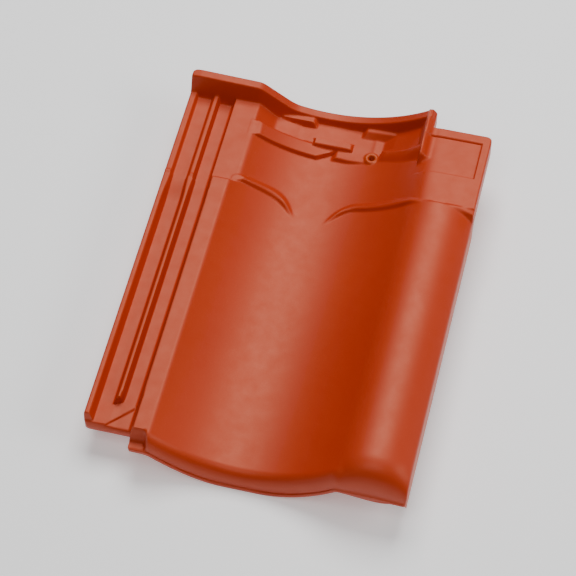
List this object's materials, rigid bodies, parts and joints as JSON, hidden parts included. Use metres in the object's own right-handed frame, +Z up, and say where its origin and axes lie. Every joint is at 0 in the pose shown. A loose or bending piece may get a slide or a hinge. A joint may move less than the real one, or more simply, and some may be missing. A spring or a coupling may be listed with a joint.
{
  "type": "interlocking clay roof tile",
  "caption": "Pressed clay pantile with a broad pan, a raised roll, a side water lock, a downturned eave nose, a head rim and hooking nibs.",
  "frame": {"origin": "centre of the tile's plan outline, on the floor under it", "axes": "+Y runs from the eave nose up to the head rim, +X across to the roll edge, +Z up out of the weather face"},
  "size_m": [0.264, 0.362, 0.062],
  "materials": {
    "fired_clay": "satin engobed terracotta"
  },
  "bodies": {
    "root": {"roof_tile": "fired_clay"}
  },
  "joints": []
}
